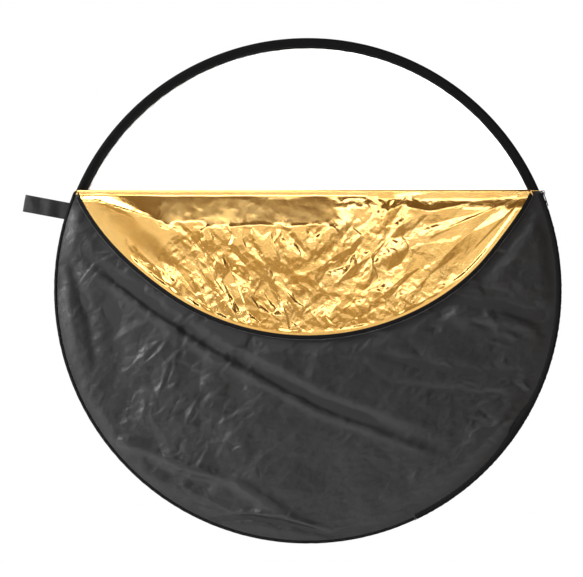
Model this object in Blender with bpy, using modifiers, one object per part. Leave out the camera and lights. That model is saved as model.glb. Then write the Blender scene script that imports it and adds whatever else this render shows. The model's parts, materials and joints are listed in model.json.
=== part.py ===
"""Collapsible reflector disc, 1.1 m across.

A translucent diffuser is stretched on a sprung steel hoop, and a two-sided zip-on cover is pulled
over it. The zip is open over the top of the disc. The upper part of the cover's front panel is
folded down over the front, which shows its gold lining, and the upper part of the rear panel is
folded down behind, which shows its silver lining.

The disc stands in the XZ plane, front towards -Y. The origin is the centre of the hoop. Angles round
the rim are in degrees from +X towards +Z. Each flap is modelled closed, in line with its lower
panel, and hangs on an empty at the fold that turns it down.
"""

import math

import bmesh
import bpy
from mathutils import Matrix, Vector

# Driving dimensions, in metres
RIM_RADIUS = 0.5475  # outside of the cased hoop
CASING_WIDTH = 0.023
CASING_HALF_THICKNESS = 0.006
CASING_CLOTH = 0.0008
CASING_MOUTH = 0.0015  # half the casing's thickness at its hem
BAND_THICKNESS = 0.0008
BAND_HEIGHT = 0.008
BAND_DEPTH_IN_RIM = 0.0032  # from the rim's outside to the middle of the band
FERRULE_WALL = 0.001
FERRULE_PLAY = 0.0004  # between the band and the inside of its ferrule
DIFFUSER_INSET = 0.006  # from the rim's outside to the diffuser's edge
PLY = 0.0006
TAPE = 0.0008
GAP = 0.0004  # between layers that touch on the real cover
FOLD_HEIGHT = 0.2163
FOLD_DEPTH = 0.0115  # of each fold line from the disc's middle plane

# Across the cover
PANEL_RADIUS = RIM_RADIUS + 0.001
FLAP_RADIUS = 0.5293
FLAP_TAPE_INNER, FLAP_TAPE_OUTER = 0.5205, 0.5385
FLAP_COIL_OUTER = 0.5412
FLAP_COIL_HALF = 0.0011
BINDING_OUTER = RIM_RADIUS + 0.003
BINDING_WIDTH = 0.0065
CLOSED_TAPE_WIDTH = 0.0105
COIL_INNER, COIL_OUTER = 0.5497, 0.5517
COIL_HALF = 0.003
STOP_OVERHANG = 0.0006  # of a zip stop beyond the coil that it ends
FOLD_SLIT = 0.0005  # from a ply's edge to its fold line

# Through the cover, as distances from the middle plane
INNER_PLY_Y = CASING_HALF_THICKNESS + GAP + PLY / 2
OUTER_PLY_Y = INNER_PLY_Y + PLY + GAP
TAPE_Y = OUTER_PLY_Y + PLY / 2 + GAP + TAPE / 2

# Round the rim, in degrees
SLIDER_ANGLE = 22.5  # the middle of a facet
ZIP_BOTTOM_ANGLE = -65.0
BINDING_END_ANGLE = 157.2
FERRULE_ANGLE = -90.0
FERRULE_HALF_SPAN = 1.9
BAND_HALF_SPLIT = 0.1  # the cut in the band, inside the ferrule
LOOP_ANGLE = 161.9
LOOP_DIRECTION = 169.4  # the way the loop points

# The hanging loop
LOOP_LENGTH = 0.092
LOOP_WIDTH = 0.037
LOOP_STRAP = 0.001
LOOP_HALF_OPEN = 0.0055
LOOP_TAB = 0.009  # stitched flat, next to the rim
LOOP_OPENING_RUN = 0.030  # from the tab to where the loop is fully open
LOOP_CLEARANCE = 0.0032

# The slider and its pull
PLATE = 0.0009
SLIDER_LENGTH, SLIDER_WIDTH = 0.010, 0.0092
PLATE_INNER, PLATE_OUTER = 0.5477, 0.5531  # the radii that the slider spans
BRIDGE_HEIGHT, BRIDGE_LENGTH, BRIDGE_WIDTH = 0.0045, 0.0076, 0.0016
BRIDGE_BAR = 0.001
NECK_HALF = 0.001
PULL_LENGTH, PULL_WIDTH, PULL_THICKNESS = 0.031, 0.007, 0.001
PULL_EYE, PULL_EYE_WIDTH = 0.0054, 0.0036
GRIP_HOLE_HALF, GRIP_HOLE_LENGTH, GRIP_HOLE_MARGIN = 0.0013, 0.006, 0.003
PULL_LEAN = 4.0  # degrees from the rim's tangent, towards the rim

DISC_STEPS = 72
BAND_STEPS = 144
LOOP_STEPS = 9
CUT_DEPTH = 0.1  # how far the trimming blocks reach through the disc
COLLECTION = "collapsible_reflector_disc"
FRONT, REAR = -1, 1

# Colour, roughness and metallic value of each material
MATERIALS = {
    "spring_steel": ((0.42, 0.43, 0.45), 0.35, 1.0),
    "casing_black": ((0.018, 0.018, 0.018), 0.8, 0.0),
    "diffuser_white": ((0.93, 0.93, 0.92), 0.7, 0.0),
    "nylon_black": ((0.035, 0.035, 0.037), 0.5, 0.0),
    "foil_gold": ((0.95, 0.62, 0.2), 0.2, 1.0),
    "foil_silver": ((0.82, 0.83, 0.85), 0.2, 1.0),
    "nylon_white": ((0.88, 0.88, 0.87), 0.6, 0.0),
    "zip_tape": ((0.015, 0.015, 0.016), 0.85, 0.0),
    "zip_coil": ((0.02, 0.02, 0.02), 0.4, 0.0),
    "zip_metal": ((0.05, 0.05, 0.052), 0.35, 0.8),
    "loop_nylon": ((0.03, 0.03, 0.032), 0.55, 0.0),
}


def clear_scene():
    for obj in list(bpy.data.objects):
        bpy.data.objects.remove(obj)


def new_collection(name, hidden=False):
    collection = bpy.data.collections.new(name)
    collection.hide_render = hidden
    bpy.context.scene.collection.children.link(collection)
    return collection


def material(name):
    found = bpy.data.materials.get(name)
    if found:
        return found
    colour, roughness, metallic = MATERIALS[name]
    made = bpy.data.materials.new(name)
    made.use_nodes = True
    shader = made.node_tree.nodes["Principled BSDF"]
    shader.inputs["Base Color"].default_value = (*colour, 1.0)
    shader.inputs["Roughness"].default_value = roughness
    shader.inputs["Metallic"].default_value = metallic
    return made


def file_under(obj, collection):
    for holder in list(obj.users_collection):
        holder.objects.unlink(obj)
    collection.objects.link(obj)


def add_part(name, mesh, material_name):
    obj = bpy.data.objects.new(name, mesh)
    mesh.materials.append(material(material_name))
    PARTS.objects.link(obj)
    return obj


def adopt(obj, name, material_name):
    """Names an object that a bpy.ops primitive made, and files it as a part."""
    obj.name = name
    obj.data.materials.clear()
    obj.data.materials.append(material(material_name))
    file_under(obj, PARTS)
    return obj


def as_cutter(obj):
    file_under(obj, CUTTERS)
    obj.hide_render = True
    obj.display_type = "WIRE"
    return obj


def boolean(obj, other, operation="DIFFERENCE"):
    modifier = obj.modifiers.new(operation.title(), "BOOLEAN")
    modifier.operation = operation
    modifier.object = other
    modifier.solver = "EXACT"
    return obj


def block(low, high):
    """A box from its lowest to its highest corner, with its scale applied."""
    low, high = Vector(low), Vector(high)
    bpy.ops.mesh.primitive_cube_add(size=1.0, location=(low + high) / 2)
    obj = bpy.context.active_object
    obj.data.transform(Matrix.Diagonal((*(high - low), 1.0)))
    return obj


def turned(name, section, material_name):
    """A closed (radius, y) section turned a whole turn about the disc's axis."""
    mesh = bpy.data.meshes.new(name)
    count = len(section)
    mesh.from_pydata(
        [(radius, y, 0.0) for radius, y in reversed(section)],
        [(i, (i + 1) % count) for i in range(count)],
        [],
    )
    obj = add_part(name, mesh, material_name)
    screw = obj.modifiers.new("Screw", "SCREW")
    screw.axis = "Y"
    screw.angle = math.tau
    screw.steps = screw.render_steps = DISC_STEPS
    screw.use_merge_vertices = True
    screw.merge_threshold = 0.00005
    screw.use_smooth_shade = False
    return obj


def facet_share(angle, steps):
    """How far out a polygon with that many sides reaches at an angle, as a share of its corner radius."""
    half = math.pi / steps
    into_facet = math.radians(angle) % (2 * half)
    return math.cos(half) / math.cos(into_facet - half)


def spun_mesh(name, section, start, end, steps=DISC_STEPS):
    """A closed (radius, y) section swept round the disc's axis between two angles, with its ends filled.

    It follows the facets of a whole ring with that many steps, so that rings nest without touching."""
    pitch = 360.0 / steps
    first, last = math.floor(start / pitch), math.ceil(end / pitch)
    edit = bmesh.new()
    face = edit.faces.new([edit.verts.new((radius, y, 0.0)) for radius, y in section])
    bmesh.ops.rotate(edit, verts=edit.verts[:], matrix=Matrix.Rotation(-math.radians(first * pitch), 3, "Y"))
    first_ring = face.verts[:]
    swept = bmesh.ops.spin(
        edit,
        geom=[face, *face.edges, *face.verts],
        axis=(0.0, -1.0, 0.0),
        cent=(0.0, 0.0, 0.0),
        angle=math.radians((last - first) * pitch),
        steps=last - first,
    )
    last_ring = [item for item in swept["geom_last"] if isinstance(item, bmesh.types.BMVert)]
    for ring, corner, angle in ((first_ring, first, start), (last_ring, last, end)):
        reach = facet_share(angle, steps)
        slide = Matrix.Rotation(-math.radians(angle - corner * pitch), 4, "Y")
        bmesh.ops.transform(edit, verts=ring, matrix=slide @ Matrix.Diagonal((reach, 1.0, reach, 1.0)))
    bmesh.ops.recalc_face_normals(edit, faces=edit.faces[:])
    mesh = bpy.data.meshes.new(name)
    edit.to_mesh(mesh)
    edit.free()
    return mesh


def spun(name, section, start, end, material_name, steps=DISC_STEPS):
    return add_part(name, spun_mesh(name, section, start, end, steps), material_name)


def rectangle(inner, outer, low, high):
    """A rectangular section between two radii and two depths."""
    return [(inner, low), (outer, low), (outer, high), (inner, high)]


def channel(outer, width, face, wall, mouth=None, chamfer=0.0009):
    """A cloth strip folded round an edge, as a section open towards the axis.

    The legs stand at face from the middle plane, or lean in to mouth at the open side."""
    mouth = face if mouth is None else mouth
    shoulder = outer - 0.2 * width
    half = [
        (outer, face - 1.5 * chamfer),
        (outer - chamfer, face),
        (shoulder, face),
        (outer - width, mouth),
        (outer - width, mouth - wall),
        (shoulder, face - wall),
        (outer - wall, face - wall),
    ]
    return half + [(radius, -y) for radius, y in reversed(half)]


def trim_above(obj, height):
    """Cuts away what is above a height."""
    reach = 2 * RIM_RADIUS
    return boolean(obj, as_cutter(block((-reach, -CUT_DEPTH, height), (reach, CUT_DEPTH, reach))))


def trim_below(obj, height):
    reach = 2 * RIM_RADIUS
    return boolean(obj, as_cutter(block((-reach, -CUT_DEPTH, -reach), (reach, CUT_DEPTH, height))))


def round_ply(name, radius, y, material_name):
    bpy.ops.mesh.primitive_cylinder_add(
        vertices=DISC_STEPS,
        radius=radius,
        depth=PLY,
        location=(0.0, y, 0.0),
        rotation=(math.pi / 2, 0.0, 0.0),
    )
    return adopt(bpy.context.active_object, name, material_name)


def make_diffuser():
    """The hoop with its ferrule, the cloth casing round it, and the diffuser cloth sewn into the casing."""
    band_middle = RIM_RADIUS - BAND_DEPTH_IN_RIM
    half = BAND_HEIGHT / 2
    spun(
        "hoop_band",
        rectangle(band_middle - BAND_THICKNESS / 2, band_middle + BAND_THICKNESS / 2, -half, half),
        FERRULE_ANGLE + BAND_HALF_SPLIT,
        FERRULE_ANGLE + 360.0 - BAND_HALF_SPLIT,
        "spring_steel",
        BAND_STEPS,
    )

    def ferrule_section(clearance):
        reach = BAND_THICKNESS / 2 + clearance
        height = half + clearance * 0.8
        return rectangle(band_middle - reach, band_middle + reach, -height, height)

    start, end = FERRULE_ANGLE - FERRULE_HALF_SPAN, FERRULE_ANGLE + FERRULE_HALF_SPAN
    ferrule = spun("hoop_ferrule", ferrule_section(FERRULE_WALL), start, end, "spring_steel", BAND_STEPS)
    hollow = spun_mesh("ferrule_hollow", ferrule_section(FERRULE_PLAY), start - 0.6, end + 0.6, BAND_STEPS)
    inside = bpy.data.objects.new("ferrule_hollow", hollow)
    boolean(ferrule, as_cutter(inside))

    casing = channel(RIM_RADIUS, CASING_WIDTH, CASING_HALF_THICKNESS, CASING_CLOTH, mouth=CASING_MOUTH)
    turned("rim_casing", casing, "casing_black")

    round_ply("diffuser_cloth", RIM_RADIUS - DIFFUSER_INSET, 0.0, "diffuser_white")


def make_lower_panels():
    """The pocket below the folds: two plies in front, two behind, and the binding sewn over their edges."""
    plies = (
        ("front_panel_gold", FRONT * INNER_PLY_Y, "foil_gold"),
        ("front_panel_black", FRONT * OUTER_PLY_Y, "nylon_black"),
        ("rear_panel_silver", REAR * INNER_PLY_Y, "foil_silver"),
        ("rear_panel_white", REAR * OUTER_PLY_Y, "nylon_white"),
    )
    for name, y, material_name in plies:
        trim_above(round_ply(name, PANEL_RADIUS, y, material_name), FOLD_HEIGHT - FOLD_SLIT)
    spun(
        "seam_binding",
        channel(BINDING_OUTER, BINDING_WIDTH, TAPE_Y + TAPE / 2, CASING_CLOTH),
        BINDING_END_ANGLE,
        ZIP_BOTTOM_ANGLE + 360.0,
        "casing_black",
    )


def make_closed_zip():
    """The stretch of zip that is done up, from its bottom stop to the slider."""
    start = ZIP_BOTTOM_ANGLE + 0.4
    end = SLIDER_ANGLE + 0.1
    wall_outer = COIL_INNER + TAPE
    for side, name in ((FRONT, "front"), (REAR, "rear")):
        tape = [
            (COIL_INNER, side * (COIL_HALF + GAP)),
            (COIL_INNER, side * (TAPE_Y - TAPE / 2)),
            (wall_outer - CLOSED_TAPE_WIDTH, side * (TAPE_Y - TAPE / 2)),
            (wall_outer - CLOSED_TAPE_WIDTH, side * (TAPE_Y + TAPE / 2)),
            (wall_outer, side * (TAPE_Y + TAPE / 2)),
            (wall_outer, side * (COIL_HALF + GAP)),
        ]
        spun(f"zip_tape_{name}", tape, start, end, "zip_tape")
        low, high = sorted((side * GAP / 2, side * COIL_HALF))
        spun(f"zip_coil_{name}", rectangle(COIL_INNER, COIL_OUTER, low, high), start, end, "zip_coil")
    stop = rectangle(
        COIL_INNER - STOP_OVERHANG,
        COIL_OUTER + STOP_OVERHANG,
        -COIL_HALF - STOP_OVERHANG,
        COIL_HALF + STOP_OVERHANG,
    )
    spun("zip_bottom_stop", stop, ZIP_BOTTOM_ANGLE + 0.05, ZIP_BOTTOM_ANGLE + 0.35, "zip_metal")


def make_flap(side, name, outer_material, inner_material):
    """One flap, closed: its two plies, and its half of the open zip with a top stop at the left end."""
    corner = math.degrees(math.asin(FOLD_HEIGHT / FLAP_TAPE_INNER)) + 0.3
    coil_inner = FLAP_TAPE_OUTER + GAP
    plies = []
    for material_name, y in ((outer_material, OUTER_PLY_Y), (inner_material, INNER_PLY_Y)):
        colour = material_name.split("_")[1]
        ply = round_ply(f"{name}_flap_{colour}", FLAP_RADIUS, side * y, material_name)
        plies.append(trim_below(ply, FOLD_HEIGHT + FOLD_SLIT))
    low, high = sorted((side * (TAPE_Y - TAPE / 2), side * (TAPE_Y + TAPE / 2)))
    tape = spun(
        f"{name}_flap_zip_tape",
        rectangle(FLAP_TAPE_INNER, FLAP_TAPE_OUTER, low, high),
        corner,
        180.0 - corner,
        "zip_tape",
    )
    coil_section = rectangle(
        coil_inner,
        FLAP_COIL_OUTER,
        side * TAPE_Y - FLAP_COIL_HALF,
        side * TAPE_Y + FLAP_COIL_HALF,
    )
    coil = spun(f"{name}_flap_zip_coil", coil_section, corner, 179.2 - corner, "zip_coil")
    stop_section = rectangle(
        coil_inner,
        FLAP_COIL_OUTER + STOP_OVERHANG,
        side * TAPE_Y - FLAP_COIL_HALF - 0.0004,
        side * TAPE_Y + FLAP_COIL_HALF + 0.0004,
    )
    stop = spun(f"{name}_flap_top_stop", stop_section, 179.26 - corner, 179.6 - corner, "zip_metal")
    return [*plies, tape, coil, stop]


def fold_down(side, name, parts):
    """Hangs the parts of a closed flap, and their cutters, on its fold line and turns them down."""
    fold = bpy.data.objects.new(f"{name}_fold_line", None)
    fold.location = (0.0, side * FOLD_DEPTH, FOLD_HEIGHT)
    PARTS.objects.link(fold)
    cutters = [modifier.object for part in parts for modifier in part.modifiers]
    for obj in parts + cutters:
        obj.parent = fold
        obj.matrix_parent_inverse = Matrix.Translation(-fold.location)
    fold.rotation_euler.x = math.pi


def rim_mount(name, angle, radius):
    """An empty on the rim, with local X pointing outwards, Y along the disc's axis and Z round the rim."""
    empty = bpy.data.objects.new(name, None)
    turn = Matrix.Rotation(-math.radians(angle), 4, "Y")
    empty.matrix_world = turn @ Matrix.Translation((radius, 0.0, 0.0))
    PARTS.objects.link(empty)
    return empty


def place_on(obj, empty):
    """Parents an object that was modelled at the world's origin to an empty, in the empty's own frame."""
    obj.parent = empty
    obj.matrix_parent_inverse = Matrix.Identity(4)


def make_slider():
    """The slider: two plates astride the coil, the neck between them, side lips, and a bridge for the pull.

    Each addition stops a little short of the faces it would otherwise share."""
    half_length, half_width = SLIDER_LENGTH / 2, SLIDER_WIDTH / 2
    height = PLATE_OUTER - PLATE_INNER
    lip_foot, lip_wall, short = height - PLATE - 0.0008, 0.0006, 0.00015
    bridge_top, bridge_half, bridge_end = height + BRIDGE_HEIGHT, BRIDGE_WIDTH / 2, BRIDGE_LENGTH / 2
    seat = rim_mount("zip_slider_seat", SLIDER_ANGLE, PLATE_INNER)
    whole = block((0, -half_width, -half_length), (height, half_width, half_length))
    body = adopt(whole, "zip_slider", "zip_metal")
    place_on(body, seat)

    def shape(operation, low, high):
        cutter = as_cutter(block(low, high))
        place_on(cutter, seat)
        boolean(body, cutter, operation)

    shape(
        "DIFFERENCE",
        (PLATE, -2 * half_width, -2 * half_length),
        (height - PLATE, 2 * half_width, 2 * half_length),
    )
    neck_end = (height - PLATE / 2, NECK_HALF, half_length - short)
    shape("UNION", (PLATE / 2, -NECK_HALF, half_length * 0.42), neck_end)
    for side in (-1, 1):
        low, high = sorted((side * (half_width - lip_wall), side * (half_width - short)))
        shape("UNION", (lip_foot, low, short - half_length), (height - PLATE / 2, high, half_length - short))
    shape("UNION", (height - PLATE / 2, -bridge_half, -bridge_end), (bridge_top, bridge_half, bridge_end))
    shape(
        "DIFFERENCE",
        (height + short, -2 * bridge_half, BRIDGE_BAR - bridge_end),
        (bridge_top - BRIDGE_BAR, 2 * bridge_half, bridge_end - BRIDGE_BAR),
    )


def add_outline(curve, points):
    spline = curve.splines.new("POLY")
    spline.points.add(len(points) - 1)
    for point, (x, y) in zip(spline.points, points):
        point.co = (x, y, 0.0, 1.0)
    spline.use_cyclic_u = True


def plate_mesh(name, outlines, half_depth):
    """A flat outline, with any holes as further outlines, given its thickness both ways along Z."""
    curve = bpy.data.curves.new(name, "CURVE")
    curve.dimensions = "2D"
    curve.fill_mode = "BOTH"
    curve.extrude = half_depth
    for outline in outlines:
        add_outline(curve, outline)
    flat = bpy.data.objects.new(name + "_outline", curve)
    CUTTERS.objects.link(flat)
    bpy.context.view_layer.update()
    mesh = bpy.data.meshes.new_from_object(flat.evaluated_get(bpy.context.evaluated_depsgraph_get()))
    bpy.data.objects.remove(flat)
    edit = bmesh.new()
    edit.from_mesh(mesh)
    bmesh.ops.remove_doubles(edit, verts=edit.verts[:], dist=0.00005)
    bmesh.ops.recalc_face_normals(edit, faces=edit.faces[:])
    edit.to_mesh(mesh)
    edit.free()
    mesh.materials.clear()
    return mesh


def box_outline(low, high):
    return [(low[0], low[1]), (high[0], low[1]), (high[0], high[1]), (low[0], high[1])]


def make_pull():
    """The pull: a flat tab with an eye, whose crossbar passes under the slider's bridge and is its hinge."""
    half_width, half = PULL_WIDTH / 2, PULL_THICKNESS / 2
    corner, end = 0.0012, -PULL_LENGTH
    outline = [
        (half_width - corner, half),
        (-half_width + corner, half),
        (-half_width, half - corner),
        (-half_width, end + corner),
        (-half_width + corner, end),
        (half_width - corner, end),
        (half_width, end + corner),
        (half_width, half - corner),
    ]
    eye = box_outline((-PULL_EYE_WIDTH / 2, -PULL_EYE), (PULL_EYE_WIDTH / 2, -half))
    hole_start = end + GRIP_HOLE_MARGIN
    grip_hole = box_outline((-GRIP_HOLE_HALF, hole_start), (GRIP_HOLE_HALF, hole_start + GRIP_HOLE_LENGTH))
    mesh = plate_mesh("zip_pull", [outline, eye, grip_hole], half)
    mesh.transform(Matrix(((0, 0, 1, 0), (1, 0, 0, 0), (0, 1, 0, 0), (0, 0, 0, 1))))
    pivot_radius = PLATE_OUTER + (BRIDGE_HEIGHT - BRIDGE_BAR) / 2
    pull = add_part("zip_pull", mesh, "zip_metal")
    place_on(pull, rim_mount("zip_pull_pivot", SLIDER_ANGLE, pivot_radius))
    pull.matrix_basis = Matrix.Rotation(math.radians(PULL_LEAN), 4, "Y")


def loop_half_thickness(distance):
    """Half the loop's outer thickness at a distance from the rim: flat at the tab, then opening smoothly."""
    share = min(1.0, max(0.0, (distance - LOOP_TAB) / LOOP_OPENING_RUN))
    smooth = share * share * (3.0 - 2.0 * share)
    return LOOP_STRAP + (LOOP_HALF_OPEN - LOOP_STRAP) * smooth


def loop_outline(inset, start):
    """The loop seen edge on: (distance from the rim, y) points from its tab round the free end and back."""
    bend = LOOP_HALF_OPEN - inset
    bend_centre = LOOP_LENGTH - LOOP_HALF_OPEN
    stations = [start + (bend_centre - start) * i / LOOP_STEPS for i in range(LOOP_STEPS)]
    side = [(s, max(0.0002, loop_half_thickness(s) - inset)) for s in stations]
    turns = [math.pi * i / (LOOP_STEPS - 1) for i in range(LOOP_STEPS)]
    bend_points = [(bend_centre + bend * math.sin(turn), bend * math.cos(turn)) for turn in turns]
    return side + bend_points + [(s, -y) for s, y in reversed(side)]


def make_hanging_loop():
    """The hanging loop: one strap doubled back on itself and stitched flat at the rim, open beyond."""
    outlines = [loop_outline(0.0, 0.0), loop_outline(LOOP_STRAP, LOOP_TAB + 0.006)]
    loop = add_part("hanging_loop", plate_mesh("hanging_loop", outlines, LOOP_WIDTH / 2), "loop_nylon")
    place_on(loop, rim_mount("hanging_loop_seam", LOOP_ANGLE, BINDING_OUTER + LOOP_CLEARANCE))
    loop.matrix_basis = Matrix.Rotation(-math.radians(LOOP_DIRECTION - LOOP_ANGLE), 4, "Y")


clear_scene()
PARTS = new_collection(COLLECTION)
CUTTERS = new_collection("cutters", hidden=True)
make_diffuser()
make_lower_panels()
make_closed_zip()
fold_down(FRONT, "front", make_flap(FRONT, "front", "nylon_black", "foil_gold"))
fold_down(REAR, "rear", make_flap(REAR, "rear", "nylon_white", "foil_silver"))
make_slider()
make_pull()
make_hanging_loop()
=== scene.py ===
"""Looks for the collapsible reflector disc: cloth, foil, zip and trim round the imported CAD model."""

import json
import math
from functools import lru_cache

import bpy
import numpy as np
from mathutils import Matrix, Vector
from mathutils.geometry import delaunay_2d_cdt


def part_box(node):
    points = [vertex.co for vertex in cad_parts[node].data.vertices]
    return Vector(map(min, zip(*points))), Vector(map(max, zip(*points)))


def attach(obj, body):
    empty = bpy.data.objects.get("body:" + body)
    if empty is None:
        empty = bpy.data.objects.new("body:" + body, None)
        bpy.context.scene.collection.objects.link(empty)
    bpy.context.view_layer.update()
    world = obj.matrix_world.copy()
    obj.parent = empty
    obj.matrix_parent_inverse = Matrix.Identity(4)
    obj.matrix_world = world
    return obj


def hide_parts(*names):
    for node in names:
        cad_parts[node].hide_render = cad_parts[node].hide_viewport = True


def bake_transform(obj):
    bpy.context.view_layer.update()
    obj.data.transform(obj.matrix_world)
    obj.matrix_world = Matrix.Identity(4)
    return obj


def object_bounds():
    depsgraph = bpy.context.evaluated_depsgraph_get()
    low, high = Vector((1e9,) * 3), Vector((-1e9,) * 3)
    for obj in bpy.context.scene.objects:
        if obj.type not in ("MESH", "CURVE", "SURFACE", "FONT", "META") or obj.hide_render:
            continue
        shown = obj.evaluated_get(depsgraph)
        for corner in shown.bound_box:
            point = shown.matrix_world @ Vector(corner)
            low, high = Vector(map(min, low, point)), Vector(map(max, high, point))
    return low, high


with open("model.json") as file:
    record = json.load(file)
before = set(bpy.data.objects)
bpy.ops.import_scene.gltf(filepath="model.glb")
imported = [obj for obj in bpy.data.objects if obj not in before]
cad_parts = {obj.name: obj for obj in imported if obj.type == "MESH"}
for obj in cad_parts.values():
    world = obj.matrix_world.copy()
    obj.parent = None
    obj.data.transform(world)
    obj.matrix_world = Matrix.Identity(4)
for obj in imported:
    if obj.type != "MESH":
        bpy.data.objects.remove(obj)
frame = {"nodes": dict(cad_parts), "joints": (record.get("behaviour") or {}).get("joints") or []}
CAD_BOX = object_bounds()
JOINTS = {joint["name"]: joint for joint in frame["joints"]}

# Places and sizes read from the frame, in metres
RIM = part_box("rim_casing")[1].z
CASING_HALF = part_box("rim_casing")[1].y
BINDING_RIM = -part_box("seam_binding")[0].z
BINDING_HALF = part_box("seam_binding")[1].y
PANEL_EDGE = -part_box("front_panel_black")[0].z
PANEL_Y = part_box("front_panel_black")[0].y
FOLD_Z = JOINTS["front_fold"]["pos_m"][2]
FOLD_Y = abs(JOINTS["front_fold"]["pos_m"][1])
LOOP_SEAM = Vector(JOINTS["loop_seam"]["pos_m"])

# Sides, and angles round the rim in degrees from +X towards +Z
FRONT, REAR = -1.0, 1.0
SLIDER_ANGLE = 22.5
ZIP_BOTTOM = -65.0
BINDING_END = 157.2
LOOP_HEADING = 169.4

# The flaps, in metres, measured on the closed cover
FLAP_EDGE = 0.5305  # the foil's edge
FLAP_COIL = 0.5402
FLAP_CORNER = 24.9  # degrees from +X to where the flap's zip starts
HEM_LEVEL = 0.0034  # how far the hem stands proud of the fold's front
BAND = 0.012  # how far the foil lies flat below the fold
PROUDEST = 0.0088  # about the most that the foil stands proud of the fold's front
FOLD_ROLL = 0.0011  # the radius at which the foil turns over the fold
ROLL_REACH = 0.0016  # how far below the fold the turn ends
BACKING_GAP = 0.0005  # between the foil and its backing at the fold
BACKING_INSET = 0.003  # of the backing's edge inside the foil's
BACKING_DEPTH = 0.0029  # how far the backing lies behind the flap's broad shape lower down
CORNER_X, CORNER_SLOPE = -0.4993, 0.406  # the line from the left corner that bounds the smooth foil
FAN_X = 0.49  # where the creases of the right corner meet, on the fold

# The zip below the slider, in metres
ZIP_RIM, ZIP_HEM = 0.5509, 0.5390
ZIP_COIL = 0.5507


# ---- noise and wrinkles


def smooth(low, high, value):
    share = np.clip((value - low) / (high - low), 0.0, 1.0)
    return share * share * (3.0 - 2.0 * share)


def noise(x, z, scale, seed):
    """Perlin noise from about -1 to 1, with features as large as scale."""
    size = 128
    angles = np.random.default_rng(seed).random((size, size)) * math.tau
    gx, gz = np.cos(angles), np.sin(angles)
    offset = 57.0  # the grid point that lies at the origin
    px, pz = np.asarray(x) / scale + offset, np.asarray(z) / scale + offset
    ix, iz = np.floor(px).astype(int), np.floor(pz).astype(int)
    fx, fz = px - ix, pz - iz

    def corner(dx, dz):
        row, column = (ix + dx) % size, (iz + dz) % size
        return gx[row, column] * (fx - dx) + gz[row, column] * (fz - dz)

    ease_x = fx * fx * fx * (fx * (fx * 6 - 15) + 10)
    ease_z = fz * fz * fz * (fz * (fz * 6 - 15) + 10)
    near = corner(0, 0) * (1 - ease_x) + corner(1, 0) * ease_x
    far = corner(0, 1) * (1 - ease_x) + corner(1, 1) * ease_x
    return 1.5 * (near * (1 - ease_z) + far * ease_z)


def turn(x, z, degrees):
    """Coordinates along and across a direction."""
    c, s = math.cos(math.radians(degrees)), math.sin(math.radians(degrees))
    return x * c + z * s, -x * s + z * c


def stroke(x, z, path, width, height, upper=1.0):
    """A fold along a path: a ridge, or a valley where height is negative, that fades out at both ends.

    upper makes its upper side that many times as wide as its lower side."""
    best = np.full(np.shape(x), 1e9)
    along = np.zeros(np.shape(x))
    side = np.zeros(np.shape(x))
    lengths = [math.dist(a, b) for a, b in zip(path, path[1:])]
    done, total = 0.0, sum(lengths)
    for (ax, az), (bx, bz), length in zip(path, path[1:], lengths):
        ux, uz = (bx - ax) / length, (bz - az) / length
        t = np.clip((x - ax) * ux + (z - az) * uz, 0.0, length)
        dx, dz = x - ax - t * ux, z - az - t * uz
        distance = np.hypot(dx, dz)
        closer = distance < best
        best = np.where(closer, distance, best)
        along = np.where(closer, (done + t) / total, along)
        side = np.where(closer, dz, side)
        done += length
    reach = width * np.where(side > 0, upper, 1.0)
    taper = smooth(0.0, 0.18, along) * smooth(1.0, 0.75, along)
    return height * taper * np.exp(-((best / reach) ** 2))


def pleats(x, z, count, seed, area, heading, spread, length, width, slope):
    """Many short straight creases with sharp crests, scattered over an area (x0, x1, z0, z1)."""
    rng = np.random.default_rng(seed)
    total = np.zeros(np.shape(x))
    for _ in range(count):
        cx, cz = rng.uniform(area[0], area[1]), rng.uniform(area[2], area[3])
        direction = heading + rng.normal(0.0, spread)
        half = length * rng.uniform(0.4, 1.3) / 2
        w = width * rng.uniform(0.5, 1.6)
        height = slope * w * rng.uniform(0.4, 1.3) * rng.choice((-1.0, 1.0))
        bend = rng.normal(0.0, 0.8)
        near = (np.abs(x - cx) < half + w) & (np.abs(z - cz) < half + w)
        if not near.any():
            continue
        s, d = turn(x[near] - cx, z[near] - cz, direction)
        d = d + bend * s * s
        crest = np.clip(1 - np.abs(d) / w, 0, 1) ** 1.2
        total[near] += height * crest * np.clip(1 - (s / half) ** 2, 0, 1)
    return total


FACET_CELLS = 24  # grid cells across a facet
NEAREST = 1e-9  # how close two scattered corners count as one


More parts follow.
